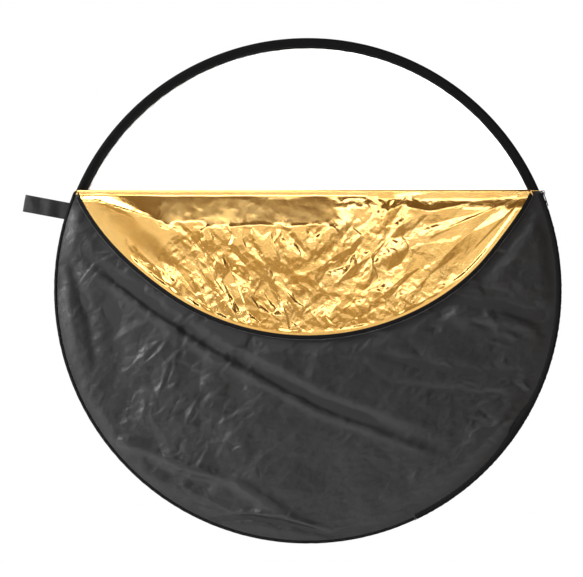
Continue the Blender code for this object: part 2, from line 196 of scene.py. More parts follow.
@lru_cache(maxsize=None)
def relief_map(seed, low, high):
    """Heights from -1 to 1 on a fine grid: flat triangles with corners scattered about one unit apart."""
    rng = np.random.default_rng(seed)
    count = np.array(high) - low
    spots = np.indices(count).reshape(2, -1).T + rng.uniform(-0.48, 0.48, (count.prod(), 2))
    heights = rng.uniform(-1.0, 1.0, len(spots))
    scattered = [Vector(spot) for spot in spots.tolist()]
    corners, _, triangles, origins, _, _ = delaunay_2d_cdt(scattered, [], [], 0, NEAREST)
    corners = np.array([tuple(corner) for corner in corners]) * FACET_CELLS
    heights = heights[[origin[0] for origin in origins]]
    relief = np.zeros(count * FACET_CELLS)
    for a, b, c in triangles:
        (ax, ay), (bx, by), (cx, cy) = corners[a], corners[b], corners[c]
        i0, j0 = max(int(min(ax, bx, cx)), 0), max(int(min(ay, by, cy)), 0)
        area = relief[i0 : int(max(ax, bx, cx)) + 2, j0 : int(max(ay, by, cy)) + 2]
        if not area.size:
            continue
        i = np.arange(i0, i0 + area.shape[0])[:, None] - ax
        j = np.arange(j0, j0 + area.shape[1])[None, :] - ay
        bx, by, cx, cy = bx - ax, by - ay, cx - ax, cy - ay
        whole = bx * cy - cx * by
        share_b, share_c = (i * cy - cx * j) / whole, (bx * j - i * by) / whole
        slack = 1e-6
        inside = (share_b > -slack) & (share_c > -slack) & (share_b + share_c < 1 + slack)
        plane = heights[a] + share_b * (heights[b] - heights[a]) + share_c * (heights[c] - heights[a])
        area[inside] = plane[inside]
    return relief


def facets(p, q, seed):
    """Flat facets between straight creases, as in crumpled foil, about one unit wide in p and q."""
    low = (math.floor(p.min()) - 1, math.floor(q.min()) - 1)
    high = (math.ceil(p.max()) + 2, math.ceil(q.max()) + 2)
    relief = relief_map(seed, low, high)
    x, y = (p - low[0]) * FACET_CELLS, (q - low[1]) * FACET_CELLS
    i, j = np.floor(x).astype(int), np.floor(y).astype(int)
    x, y = x - i, y - j
    near = relief[i, j] * (1 - x) + relief[i + 1, j] * x
    far = relief[i, j + 1] * (1 - x) + relief[i + 1, j + 1] * x
    return near * (1 - y) + far * y


def creased(x, z, seed, size, stretch, heading):
    """Facets of a size, longer along a heading in degrees by the factor stretch."""
    along, across = turn(x, z, heading)
    return facets(along / (size * stretch), across / size, seed)


# ---- meshes


def add_object(name, data):
    obj = bpy.data.objects.new(name, data)
    bpy.context.scene.collection.objects.link(obj)
    return obj


def grid_mesh(name, points, material, uv, wrap=False, caps=False):
    """A mesh object from rows of points, each row joined to the next.

    wrap also joins each row's end to its start, and caps fills the first and last rows."""
    rows, columns = points.shape[:2]
    index = np.arange(rows * columns).reshape(rows, columns)
    near = index if wrap else index[:, :-1]
    far = np.roll(index, -1, axis=1) if wrap else index[:, 1:]
    faces = np.stack([near[:-1], far[:-1], far[1:], near[1:]], axis=-1).reshape(-1, 4).tolist()
    if caps:
        faces += [index[0][::-1].tolist(), index[-1].tolist()]
    mesh = bpy.data.meshes.new(name)
    mesh.from_pydata(points.reshape(-1, 3).tolist(), [], faces)
    layer = mesh.uv_layers.new(name="UVMap")
    corner = np.zeros(len(mesh.loops), dtype=np.int32)
    mesh.loops.foreach_get("vertex_index", corner)
    layer.data.foreach_set("uv", uv.reshape(-1, 2)[corner].astype(np.float32).ravel())
    mesh.materials.append(material)
    mesh.shade_smooth()
    return add_object(name, mesh)


def paint(obj, name, values):
    """Stores one number for each vertex, for the material to read."""
    attribute = obj.data.attributes.new(name, "FLOAT", "POINT")
    attribute.data.foreach_set("value", np.asarray(values, dtype=np.float32).ravel())


def on_rim(radius, y, degrees):
    """Points at a radius and a depth, at angles round the disc."""
    radians = np.radians(degrees)
    return np.stack(np.broadcast_arrays(radius * np.cos(radians), y, radius * np.sin(radians)), axis=-1)


def sweep(name, start, end, steps, profile, material, ripple):
    """A closed (radius, y) profile swept round the rim.

    ripple(degrees, radius, y) gives how far each point moves, as (radius, y)."""
    angles = np.linspace(start, end, steps + 1)
    section = np.array(profile)
    radius = np.repeat(section[None, :, 0], steps + 1, axis=0)
    y = np.repeat(section[None, :, 1], steps + 1, axis=0)
    shift_r, shift_y = ripple(angles[:, None], section[None, :, 0], section[None, :, 1])
    radius, y = radius + shift_r, y + shift_y
    points = on_rim(radius, y, np.repeat(angles[:, None], len(section), axis=1))
    lengths = np.concatenate([[0], np.cumsum(np.hypot(*np.diff(section, axis=0).T))])
    round_rim = np.radians(angles)[:, None] * section[:, 0].mean()
    uv = np.stack(np.broadcast_arrays(round_rim, lengths[None, :]), axis=-1)
    whole_turn = abs(end - start) > 359.9
    return grid_mesh(name, points, material, uv, wrap=True, caps=not whole_turn)


def thread_row(places, ways, ups, length, width, lift):
    """Vertices and faces of many stitches: short threads, each a low ridge with tapered ends."""
    verts, faces = [], []
    stations = ((-0.5, 0.35, 0.0), (-0.25, 1.0, 0.8), (0.25, 1.0, 0.8), (0.5, 0.35, 0.0))
    for place, way, up in zip(places, ways, ups):
        side = way.cross(up)
        base = len(verts)
        for s, w, h in stations:
            centre = place + way * (s * length)
            verts.append(centre - side * (w * width / 2))
            verts.append(centre + up * (lift * (0.2 + h)))
            verts.append(centre + side * (w * width / 2))
        for k in range(3):
            a, b = base + 3 * k, base + 3 * (k + 1)
            faces += [(a, a + 1, b + 1, b), (a + 1, a + 2, b + 2, b + 1), (a + 2, a, b, b + 2)]
        faces += [(base, base + 2, base + 1), (base + 9, base + 10, base + 11)]
    return verts, faces


def stitches(name, rows, length, width, lift, material, body):
    """One piece of stitching from rows of (place, way, up)."""
    verts, faces = [], []
    for places, ways, ups in rows:
        more, new = thread_row(places, ways, ups, length, width, lift)
        faces += [tuple(i + len(verts) for i in face) for face in new]
        verts += more
    mesh = bpy.data.meshes.new(name)
    mesh.from_pydata([tuple(v) for v in verts], [], faces)
    mesh.materials.append(material)
    mesh.shade_smooth()
    obj = add_object(name, mesh)
    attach(obj, body)
    return obj


def rim_row(radius, y, start, end, pitch, side):
    """Places for stitches round the rim, on the face that points to side."""
    count = int(math.radians(end - start) * radius / pitch)
    angles = [math.radians(start + (end - start) * (i + 0.5) / count) for i in range(count)]
    places = [Vector((radius * math.cos(a), y, radius * math.sin(a))) for a in angles]
    ways = [Vector((-math.sin(a), 0.0, math.cos(a))) for a in angles]
    return places, ways, [Vector((0.0, side, 0.0))] * count


# ---- materials


class Shader:
    """A material under construction, with short ways to add nodes."""

    def __init__(self, name, **values):
        self.material = bpy.data.materials.new(name)
        self.material.use_nodes = True
        self.tree = self.material.node_tree
        self.surface = self.tree.nodes["Principled BSDF"]
        for key, value in values.items():
            self.surface.inputs[key.replace("_", " ")].default_value = value

    def node(self, kind, values=(), **settings):
        made = self.tree.nodes.new(kind)
        for key, value in settings.items():
            setattr(made, key, value)
        for key, value in dict(values).items():
            if isinstance(value, bpy.types.NodeSocket):
                self.tree.links.new(value, made.inputs[key])
            else:
                made.inputs[key].default_value = value
        return made

    def maths(self, operation, a, b=0.0):
        return self.node("ShaderNodeMath", {0: a, 1: b}, operation=operation).outputs[0]

    def uv(self):
        return self.node("ShaderNodeUVMap", uv_map="UVMap").outputs[0]

    def local(self):
        return self.node("ShaderNodeTexCoord").outputs["Object"]

    def noise(self, vector, scale, detail=3.0, roughness=0.5, distortion=0.0):
        values = {"Vector": vector, "Scale": scale, "Detail": detail}
        values |= {"Roughness": roughness, "Distortion": distortion}
        return self.node("ShaderNodeTexNoise", values).outputs["Fac"]

    def ramp(self, factor, stops):
        node = self.node("ShaderNodeValToRGB", {"Fac": factor})
        for i, (position, colour) in enumerate(stops):
            element = node.color_ramp.elements[i] if i < 2 else node.color_ramp.elements.new(position)
            element.position = position
            element.color = (*colour, 1.0)
        return node.outputs["Color"]

    def span(self, value, low, high):
        values = {"Value": value, "To Min": low, "To Max": high}
        return self.node("ShaderNodeMapRange", values).outputs["Result"]

    def weave(self, vector, pitch):
        """A plain weave: threads over and under each other, both ways."""
        split = self.node("ShaderNodeSeparateXYZ", {"Vector": vector})
        phases = [self.maths("MULTIPLY", split.outputs[i], math.tau / pitch) for i in (0, 1)]
        return self.maths("MULTIPLY", self.maths("SINE", phases[0]), self.maths("SINE", phases[1]))

    def bump(self, height, strength, distance, normal=None):
        values = {"Height": height, "Strength": strength, "Distance": distance}
        if normal is not None:
            values["Normal"] = normal
        return self.node("ShaderNodeBump", values).outputs["Normal"]

    def connect(self, **links):
        for key, socket in links.items():
            self.tree.links.new(socket, self.surface.inputs[key.replace("_", " ")])
        return self.material


def cloth(name, colour, dark, rough, pitch, mottle, strength=0.35, gloss=0.5):
    """A woven cloth that reads its weave from the UV map, in metres."""
    shader = Shader(name, Specular_IOR_Level=gloss)
    uv = shader.uv()
    weave = shader.weave(uv, pitch)
    clouds = shader.noise(uv, 9.0, 5.0, 0.6)
    fuzz = shader.noise(uv, 900.0, 2.0)
    tone = shader.ramp(clouds, [(0.3, dark), (0.7, colour)])
    mixed = shader.maths("ADD", clouds, shader.maths("MULTIPLY", fuzz, 0.3))
    roughness = shader.span(mixed, rough - mottle / 2, rough + mottle / 2)
    soft = shader.bump(shader.noise(uv, 160.0, 4.0, 0.6), 0.15, 0.0015)
    normal = shader.bump(weave, strength, 0.00012, soft)
    return shader.connect(Base_Color=tone, Roughness=roughness, Normal=normal)


def foil(name, colour, deep, rough, mask=None):
    """Metallised foil cloth with fine crinkles, less where mask is low."""
    shader = Shader(name, Metallic=1.0)
    uv = shader.uv()
    height = shader.noise(uv, 75.0, 6.0, 0.6, 0.9)
    for scale, share in ((60.0, 0.5), (150.0, 0.28)):
        values = {"Vector": uv, "Scale": scale, "Randomness": 1.0}
        cell = shader.node("ShaderNodeTexVoronoi", values, feature="DISTANCE_TO_EDGE")
        height = shader.maths("ADD", height, shader.maths("MULTIPLY", cell.outputs["Distance"], share))
    if mask:
        reader = shader.node("ShaderNodeAttribute", attribute_name=mask, attribute_type="GEOMETRY")
        height = shader.maths("MULTIPLY", height, reader.outputs["Fac"])
    normal = shader.bump(height, 0.7, 0.0006)
    normal = shader.bump(shader.weave(uv, 0.0009), 0.05, 0.0001, normal)
    tone = shader.ramp(shader.noise(uv, 14.0, 4.0), [(0.3, deep), (0.7, colour)])
    roughness = shader.span(shader.noise(uv, 70.0, 4.0), rough - 0.04, rough + 0.06)
    return shader.connect(Base_Color=tone, Roughness=roughness, Normal=normal)


def trim(name, colour, rough, metallic=0.0):
    """A hard small part, with slight wear and unevenness."""
    shader = Shader(name, Metallic=metallic)
    local = shader.local()
    spots = shader.noise(local, 600.0, 4.0)
    dark = tuple(0.75 * c for c in colour)
    tone = shader.ramp(shader.noise(local, 250.0, 5.0), [(0.3, dark), (0.75, colour)])
    return shader.connect(
        Base_Color=tone,
        Roughness=shader.span(spots, rough - 0.1, rough + 0.12),
        Normal=shader.bump(spots, 0.12, 0.0003),
    )


def grey(level):
    return (level, level, level)


GOLD_TONES = ((0.96, 0.63, 0.215), (0.92, 0.56, 0.16))
SILVER_TONES = ((0.90, 0.90, 0.91), (0.80, 0.80, 0.82))
BLACK_NYLON = cloth(
    "black_nylon_taffeta", (0.0080, 0.0080, 0.0082), (0.0064, 0.0064, 0.0066), 0.40, 0.0006, 0.12, gloss=0.22
)
WHITE_NYLON = cloth("white_nylon_taffeta", (0.86, 0.86, 0.85), (0.82, 0.82, 0.81), 0.5, 0.0006, 0.1)
CASING_TAPE = cloth("black_casing_tape", grey(0.002), grey(0.0014), 0.8, 0.0011, 0.15, 0.8, gloss=0.05)
ZIP_TAPE = cloth("black_zip_tape", (0.0026, 0.0026, 0.0027), grey(0.0018), 0.8, 0.0012, 0.1, 0.9, gloss=0.07)
STRAP = cloth("black_strap_nylon", (0.0040, 0.0040, 0.0041), grey(0.0026), 0.5, 0.0009, 0.15, 0.6, gloss=0.13)
DIFFUSER = cloth("white_diffuser_cloth", grey(0.95), (0.92, 0.92, 0.925), 0.7, 0.0008, 0.1, 0.2)
GOLD = foil("gold_foil", *GOLD_TONES, 0.13, "crinkle")
GOLD_PLAIN = foil("gold_foil_inside", *GOLD_TONES, 0.2)
SILVER = foil("silver_foil", *SILVER_TONES, 0.18, "crinkle")
SILVER_PLAIN = foil("silver_foil_inside", *SILVER_TONES, 0.2)
THREAD = trim("black_thread", grey(0.01), 0.7)
COIL = trim("black_nylon_coil", (0.016, 0.016, 0.017), 0.35)
ZIP_METAL = trim("black_zip_metal", (0.05, 0.05, 0.052), 0.32, 0.8)
SPRING_STEEL = trim("spring_steel", (0.5, 0.51, 0.53), 0.32, 1.0)


# ---- diffuser and cased rim


def make_diffuser():
    """The diffuser, stretched flat, with small puckers where it is sewn into the casing."""
    rings, spokes = 90, 360
    edge = RIM - 0.006
    share = np.linspace(0.02, 1.0, rings)[:, None] ** 0.6
    angles = np.linspace(0.0, 360.0, spokes + 1)[None, :]
    radius = share * edge
    near_edge = np.exp(-((edge - 0.018 - radius) / 0.028) ** 2)
    pucker = 0.0011 * near_edge * noise(angles / 1.6, radius * 9.0, 1.0, 5)
    pucker = pucker * smooth(edge, edge - 0.02, radius)
    x, z = radius * np.cos(np.radians(angles)), radius * np.sin(np.radians(angles))
    y = pucker + 0.0005 * noise(x, z, 0.25, 6) * smooth(1.0, 0.8, share)
    points = np.stack([x, y, z], axis=-1)
    centre = np.repeat(points[:1].mean(axis=1, keepdims=True), spokes + 1, axis=1)
    points = np.concatenate([centre, points])
    obj = grid_mesh("diffuser_sheet", points, DIFFUSER, points[..., (0, 2)])
    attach(obj, "disc")
    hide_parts("diffuser_cloth")


def make_casing():
    """The cloth casing round the hoop: swollen over the band, flat at the hem."""
    outer, width, half = RIM, 0.0228, CASING_HALF
    stitch_line = outer - 0.0195
    outline = [
        (outer - width, 0.0016), (outer - width, 0.0026), (stitch_line, 0.0029), (outer - 0.0165, 0.0030),
        (outer - 0.0125, 0.0040), (outer - 0.0085, half * 0.88), (outer - 0.0055, half * 0.97),
        (outer - 0.0028, half * 0.93), (outer - 0.0009, half * 0.66), (outer, half * 0.25),
    ]
    inner = [
        (outer - 0.0011, half * 0.2), (outer - 0.003, half * 0.80), (outer - 0.0085, half * 0.76),
        (outer - 0.0165, 0.0018),
    ]
    outside = outline + [(r, -y) for r, y in reversed(outline)]
    profile = outside + [(r, -y) for r, y in inner] + list(reversed(inner))

    def ripple(angles, radius, y):
        side = np.sign(y)
        near_hem = smooth(outer - 0.004, outer - 0.02, radius)
        wave = noise(angles * 0.55 + 40 * side, radius * 30, 1.0, 8)
        wave = wave + 0.6 * noise(angles * 1.7, radius * 60 + side, 1.0, 9)
        edge = 0.0007 * noise(angles * 0.5, side, 1.0, 10) * near_hem
        return edge, side * 0.00035 * wave * (0.3 + near_hem)

    obj = sweep("rim_casing_cloth", 0.0, 360.0, 720, profile, CASING_TAPE, ripple)
    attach(obj, "disc")
    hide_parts("rim_casing")
    rows = [rim_row(stitch_line, side * 0.003, 0.0, 360.0, 0.0034, side) for side in (FRONT, REAR)]
    stitching = stitches("rim_casing_stitches", rows, 0.0026, 0.0006, 0.0004, THREAD, "disc")


# ---- lower panels


def panel_folds(x, z):
    """The long soft folds of the front panel, in metres proud of the panel."""
    main = (
        (-0.53, 0.10), (-0.42, 0.03), (-0.32, -0.045), (-0.205, -0.12),
        (-0.075, -0.19), (0.03, -0.245), (0.14, -0.285), (0.34, -0.36),
    )
    total = stroke(x, z, main, 0.013, -0.0042, 1.7)
    total += stroke(x, z - 0.026, main, 0.016, 0.0022)
    total += stroke(x, z + 0.020, main, 0.012, 0.0026, 0.8)
    for width, height, upper, *path in (
        (0.013, -0.0024, 1.2, (-0.53, 0.09), (-0.50, 0.02), (-0.475, -0.06), (-0.462, -0.14), (-0.455, -0.2)),
        (0.015, 0.0008, 1.0, (-0.53, 0.06), (-0.51, -0.07), (-0.50, -0.15)),
        (0.030, 0.0010, 1.0, (-0.52, -0.10), (-0.48, -0.23), (-0.41, -0.33)),
        (0.038, -0.0030, 1.0, (-0.44, 0.03), (-0.415, -0.10), (-0.40, -0.20), (-0.35, -0.29)),
        (
            0.014, 0.0036, 0.8, (-0.47, -0.31), (-0.35, -0.345), (-0.26, -0.385),
            (-0.155, -0.415), (-0.07, -0.47), (0.01, -0.51),
        ),
        (0.017, -0.0032, 1.0, (-0.36, -0.375), (-0.27, -0.405), (-0.18, -0.435)),
        (0.012, -0.0036, 1.4, (0.28, -0.02), (0.40, -0.035), (0.49, -0.06), (0.55, -0.075)),
        (0.016, 0.0024, 1.0, (0.29, -0.055), (0.40, -0.062), (0.53, -0.085)),
        (0.010, -0.0022, 1.3, (0.12, -0.13), (0.25, -0.165), (0.36, -0.18), (0.50, -0.185)),
        (0.011, -0.0018, 1.0, (0.15, -0.20), (0.33, -0.222), (0.48, -0.235)),
        (0.02, 0.0026, 1.0, (0.15, -0.475), (0.24, -0.42), (0.32, -0.38), (0.38, -0.31), (0.47, -0.275)),
        (
            0.009, -0.0034, 0.7, (-0.24, -0.495), (-0.12, -0.492),
            (-0.02, -0.512), (0.05, -0.532), (0.17, -0.505),
        ),
        (0.008, 0.0024, 1.0, (-0.17, -0.48), (-0.06, -0.487), (0.04, -0.52)),
        (0.008, 0.002, 1.0, (0.34, -0.36), (0.365, -0.335), (0.36, -0.30)),
    ):
        total += stroke(x, z, path, width, height, upper)
    return total


def panel_crumples(x, z):
    """The short crumples of the front panel, most of them low on the left."""
    left = np.exp(-(((x + 0.28) / 0.18) ** 2 + ((z + 0.22) / 0.16) ** 2))
    right = smooth(0.15, 0.35, x)
    total = left * pleats(x, z, 80, 21, (-0.5, -0.08, -0.40, 0.0), 52.0, 20.0, 0.06, 0.0075, 0.24)
    total += (0.0034 * left + 0.0008) * creased(x, z, 25, 0.033, 1.8, 55.0)
    total += (0.0013 * left + 0.0006) * creased(x, z, 26, 0.015, 1.9, 38.0)
    total += (0.0004 + 0.0002 * left) * creased(x, z, 28, 0.008, 1.8, 20.0)
    total += 0.0022 * creased(x, z, 27, 0.055, 2.0, -24.0)
    wide = 0.55 + 0.45 * noise(x, z, 0.12, 23)
    total += wide * pleats(x, z, 240, 22, (-0.54, 0.54, -0.54, 0.18), 30.0, 45.0, 0.045, 0.005, 0.12)
    total += right * pleats(x, z, 90, 24, (0.2, 0.54, -0.35, 0.1), -10.0, 22.0, 0.07, 0.008, 0.22)
    return total


def rim_pulls(x, z, seed):
    """Short puckers that run in from the sewn edge."""
    radius, degrees = np.hypot(x, z), np.degrees(np.arctan2(z, x))
    near_edge = np.exp(-((PANEL_EDGE - 0.012 - radius) / 0.022) ** 2)
    return 0.0011 * near_edge * noise(degrees / 2.2, radius * 12, 1.0, seed)


def panel_height(x, z, side):
    """How far a lower panel's outer ply stands proud of its base plane."""
    radius = np.hypot(x, z)
    clear, covered = 0.580, 0.550  # radii of the flap, well beyond its hem and just beyond it
    under_flap = smooth(clear, covered, radius_of_flap(x, z))
    broad = 0.0036 * noise(x, z, 0.22, 31 + int(side)) + 0.0018 * noise(x, z, 0.09, 32 + int(side))
    broad = broad * (1 - 0.7 * under_flap) + 0.0034 * (1 - under_flap)
    if side == FRONT:
        folds = 2.0 * panel_folds(x, z) + 1.25 * panel_crumples(x, z)
    else:
        mirrored = np.array(x) * -0.92 + 0.02
        folds = 0.8 * panel_folds(mirrored, z * 0.95 - 0.01) + 0.6 * panel_crumples(mirrored + 0.05, z)
    total = broad + folds + rim_pulls(x, z, 41 + int(side))
    total += 0.00022 * noise(x, z, 0.012, 43) + 0.00012 * noise(x, z, 0.006, 44)
    limit = 0.0105 - 0.0077 * under_flap
    total = np.minimum(total, limit) + 0.25 * np.maximum(total - limit, 0.0) * (1 - under_flap)
    degrees = np.degrees(np.arctan2(z, x))
    beside_zip = smooth(ZIP_BOTTOM - 3, ZIP_BOTTOM + 1, degrees)
    beside_zip = beside_zip * smooth(SLIDER_ANGLE + 3, SLIDER_ANGLE - 1, degrees)
    reach = PANEL_EDGE - 0.0005 - 0.010 * beside_zip
    edge = smooth(reach, reach - 0.036, radius)
    top = smooth(FOLD_Z, FOLD_Z - 0.03, z)
    return np.maximum(total * edge * (0.15 + 0.85 * top), -0.0012)


def radius_of_flap(x, z):
    """The radius, on the closed cover, of the flap point that hangs in front of (x, z)."""
    return np.hypot(x, 2 * FOLD_Z - z)


def spread(columns, share):
    """Places from -1 to 1 across a cloth, closer together towards its ends."""
    places = np.sin(np.linspace(-0.5, 0.5, columns) * math.pi * share)
    return places[None, :] / math.sin(0.5 * share * math.pi)


def make_panel(side, name, node, material):
    """A lower panel's outer ply, from the rim up to just below the fold."""
    rows, columns = (400, 560) if side == FRONT else (220, 320)
    top = FOLD_Z - 0.0015
    angle = np.linspace(-0.5 * math.pi + 0.004, math.asin(top / PANEL_EDGE), rows)[:, None]
    z = PANEL_EDGE * np.sin(angle) * np.ones((1, columns))
    x = spread(columns, 0.86) * np.sqrt(PANEL_EDGE**2 - z**2)
    ply = 0.0006
    base = abs(PANEL_Y) + ply
    lean = (FOLD_Y - ply - base) * smooth(FOLD_Z - 0.04, FOLD_Z, z)
    lean = lean * smooth(RIM, RIM - 0.05, np.hypot(x, z))
    y = side * (base + lean + panel_height(x, z, side))
    points = np.stack([x, y, z], axis=-1)
    obj = grid_mesh(name, points, material, uv=points[..., (0, 2)])
    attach(obj, "disc")
    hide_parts(node)


# ---- flaps


def foil_edge(degrees):
    """The radius of the flap's foil edge on the closed cover: a little fuller towards the left corner."""
    fuller = 0.013 * smooth(126.0, 157.0, degrees)
    return FLAP_EDGE + fuller - 0.005 * np.exp(-((degrees - 37.0) / 9.0) ** 2)


def flap_grid(rows, columns, inset):
    """Closed-cover coordinates of a flap, from just before the fold out to its curved edge."""
    before = np.array([0.010, 0.007, 0.004, 0.002, 0.001, 0.0004])
    v_edge = float(foil_edge(np.array(90.0))) - inset
    v = FOLD_Z + (v_edge - FOLD_Z) * np.sin(np.linspace(0.0, 0.5 * math.pi, rows))
    v = np.concatenate([FOLD_Z - before, v])[:, None]
    half = {}
    for sign in (-1.0, 1.0):
        u = np.sqrt(np.maximum(v_edge**2 - v**2, 0.0))
        for _ in range(6):
            reach = foil_edge(np.degrees(np.arctan2(v, sign * u))) - inset
            u = np.sqrt(np.maximum(reach**2 - v**2, 0.0))
        half[sign] = u
    share = spread(columns, 0.8)
    u = np.where(share < 0, share * half[-1.0], share * half[1.0])
    return u, np.broadcast_to(v, u.shape)


def crest_line(u):
    """How far below the fold the foil's broad brow has its crest."""
    left = CORNER_SLOPE * (u - CORNER_X)
    return np.clip(np.minimum(left, 0.080 + 0.013 * noise(u, 0 * u, 0.11, 81)), 0.018, 0.1)


def hem_height(u, below):
    """How far the hem stands proud of the fold's front: from nothing at the fold to its full level."""
    climb = np.clip((below - BAND) / (crest_line(u) - BAND + 0.004), 0.0, 1.0)
    return HEM_LEVEL * np.maximum(climb, smooth(BAND, 0.044, below))


def flap_masks(u, v):
    """How crumpled the foil is, from 0 where it is smooth to 1, and how clear of the hem and of the fold."""
    below = v - FOLD_Z
    radius, degrees = np.hypot(u, v), np.degrees(np.arctan2(v, u))
    hem = smooth(foil_edge(degrees) - 0.005, foil_edge(degrees) - 0.013, radius)
    band = smooth(BAND, 0.02, below)
    smooth_corner = smooth(-0.004, 0.010, below - CORNER_SLOPE * (u - CORNER_X))
    smooth_corner = smooth_corner * smooth(-0.268, -0.312, u + 0.35 * (below - 0.0865))
    inside_hem = smooth(foil_edge(degrees) - 0.020, foil_edge(degrees) - 0.034, radius)
    smooth_corner = smooth_corner * np.maximum(inside_hem, smooth(-0.36, -0.40, u))
    brow = 1 - 0.95 * smooth(0.004, -0.012, below - crest_line(u)) * smooth(0.20, 0.02, u)
    right_strips = 1 - 0.6 * smooth(0.10, 0.30, u) * smooth(0.30, 0.12, np.hypot(u - FAN_X, below))
    return hem * band * (1 - 0.96 * smooth_corner) * brow * right_strips, hem, band


def soft_limit(value, low, high, give=0.15):
    """Keeps value between low and high, but for a small share of what lies beyond."""
    return np.clip(value, low, high) + give * (value - np.clip(value, low, high))


def flap_base(u, v, seed):
    """How far the flap as a whole stands proud of the fold's front: a broad brow and large facets."""
    crumple = flap_masks(u, v)[0]
    below = v - FOLD_Z
    edge_gap = foil_edge(np.degrees(np.arctan2(v, u))) - np.hypot(u, v)
    crest = crest_line(u)
    rise = HEM_LEVEL + 0.0056 * smooth(0.17, 0.02, u) * smooth(-0.50, -0.36, u)
    climb = np.clip((below - BAND) / (crest - BAND + 0.004), 0.0, 1.0)
    total = rise * climb - (rise - HEM_LEVEL) * smooth(0.0, 0.13, below - crest)
    level = hem_height(u, below)
    total = level + (total - level) * smooth(0.0, 0.08, edge_gap)
    left = creased(u, -below, seed + 2, 0.042, 2.0, -66.0)
    right = creased(u, -below, seed + 3, 0.055, 1.8, 38.0)
    share = smooth(-0.08, 0.12, u)
    total += 0.0022 * crumple * (left * (1 - share) + right * share)
    return soft_limit(total, HEM_LEVEL * smooth(BAND, 0.044, below), PROUDEST)


def foil_relief(u, v, seed):
    """The foil's own creases over the flap's broad shape, in metres."""
    crumple, hem, band = flap_masks(u, v)
    below = v - FOLD_Z
    z = -below
    spoke, reach = np.degrees(np.arctan2(below, FAN_X - u)), np.hypot(u - FAN_X, below)
    near_corner = smooth(0.40, 0.16, reach)
    fan = facets(reach / 0.10, spoke / 6.5, seed + 4) * np.clip(reach / 0.25, 0, 1) * near_corner * hem
    share = smooth(-0.08, 0.12, u)
    medium = creased(u, z, seed + 5, 0.016, 2.4, -62.0) * (1 - share)
    medium = medium + creased(u, z, seed + 6, 0.021, 2.2, 40.0) * share
    small = creased(u, z, seed + 7, 0.0075, 2.0, -50.0) + creased(u, z, seed + 8, 0.0085, 1.8, 50.0)
    open_share = 1 - 0.7 * near_corner
    total = 0.0026 * fan + crumple * open_share * (0.0024 * medium + 0.0005 * small)
    corner_fold = [(-0.47, -0.012), (-0.43, -0.030), (-0.37, -0.053), (-0.30, -0.082)]
    total += stroke(u, z, corner_fold, 0.006, 0.0012, 1.5)
    total += 0.0003 * band * hem * noise(u, z, 0.10, seed + 10) + 0.00006 * noise(u, z, 0.02, seed + 11)
    deepest = -0.0019 * smooth(BAND + 0.002, 0.042, below)
    return np.maximum(soft_limit(total, deepest, 0.0026), deepest - 0.0002) * smooth(0.004, BAND, below)


def flap_points(side, u, v, height, under):
    """The flap at rest: up the inside of the fold, over it, and down in front.

    under is how far the ply lies below the foil where it turns."""
    below = v - FOLD_Z
    roll = FOLD_ROLL - under
    turn_share = smooth(-ROLL_REACH, ROLL_REACH, below)
    depth = np.where(below > ROLL_REACH, FOLD_Y + roll + height, FOLD_Y + (2 * turn_share - 1) * roll)
    crest = np.sqrt(np.clip(1 - (below / ROLL_REACH) ** 2, 0, 1))
    z = FOLD_Z - np.abs(below) + roll * crest
    return np.stack([u, side * depth, z], axis=-1)


def make_flap(side, foil_look, backing_look, seed):
    """A flap's two plies. Each look is (piece name, CAD node, material, slot); the slot is not used."""
    rows, columns = (240, 720) if side == FRONT else (150, 440)
    mirror = 1.0 if side == FRONT else -1.0
    backing = (backing_look, BACKING_GAP, BACKING_INSET, 2)
    for look, under, inset, share in ((foil_look, 0.0, 0.0, 1), backing):
        name, node, material, slot_name = look
        u, v = flap_grid(rows // share, columns // share, inset)
        height = flap_base(mirror * u, v, seed)
        if under:
            height = height - BACKING_DEPTH * smooth(BAND, 0.040, v - FOLD_Z)
        else:
            height = soft_limit(height + foil_relief(mirror * u, v, seed), 0.0, PROUDEST)
        height = np.maximum(height, 0.0)
        points = flap_points(side, u, v, height, under)
        obj = grid_mesh(name, points, material, uv=np.stack([u, v], axis=-1))
        paint(obj, "crinkle", flap_masks(mirror * u, v)[0])
        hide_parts(node)
        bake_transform(obj)


# ---- bindings and zips


def make_seam_binding():
    """The tape sewn over the panels' edges where there is no zip."""
    outer, width, half = BINDING_RIM, 0.0068, BINDING_HALF
    outline = [
        (outer - width, half - 0.0004), (outer - width, half + 0.0002), (outer - width * 0.5, half + 0.0004),
        (outer - 0.0014, half - 0.0001), (outer - 0.0004, half - 0.0016), (outer, half * 0.5),
    ]
    inner = [
        (outer - 0.001, half * 0.45), (outer - 0.0018, half - 0.002), (outer - width * 0.8, half - 0.0011),
    ]
    outside = outline + [(r, -y) for r, y in reversed(outline)]
    profile = outside + [(r, -y) for r, y in reversed(inner)] + inner

    def ripple(angles, radius, y):
        wave = noise(angles * 0.7, np.sign(y) * 3, 1.0, 51)
        return 0.0004 * wave + 0 * radius, np.sign(y) * 0.0003 * noise(angles * 1.3, np.sign(y) * 5, 1.0, 52)

    obj = sweep("seam_binding_tape", BINDING_END, 360.0 + ZIP_BOTTOM, 520, profile, CASING_TAPE, ripple)
    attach(obj, "disc")
    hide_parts("seam_binding")
    line, first, last = outer - width * 0.6, BINDING_END + 0.3, 359.7 + ZIP_BOTTOM
    rows = [rim_row(line, side * (half + 0.0003), first, last, 0.0032, side) for side in (FRONT, REAR)]
    stitches("seam_binding_stitches", rows, 0.0024, 0.0005, 0.0004, THREAD, "disc")


def coil_points(radius, depth, start, end, loops, arm_r, arm_y):
    """A nylon coil: a flattened helix that runs round the rim."""
    points_per_loop = 8
    t = np.linspace(0.0, loops, loops * points_per_loop + 1)
    degrees = start + (end - start) * t / loops
    r = radius + arm_r * np.cos(math.tau * t)
    y = depth + arm_y * np.sin(math.tau * t)
    return on_rim(r, y, degrees)


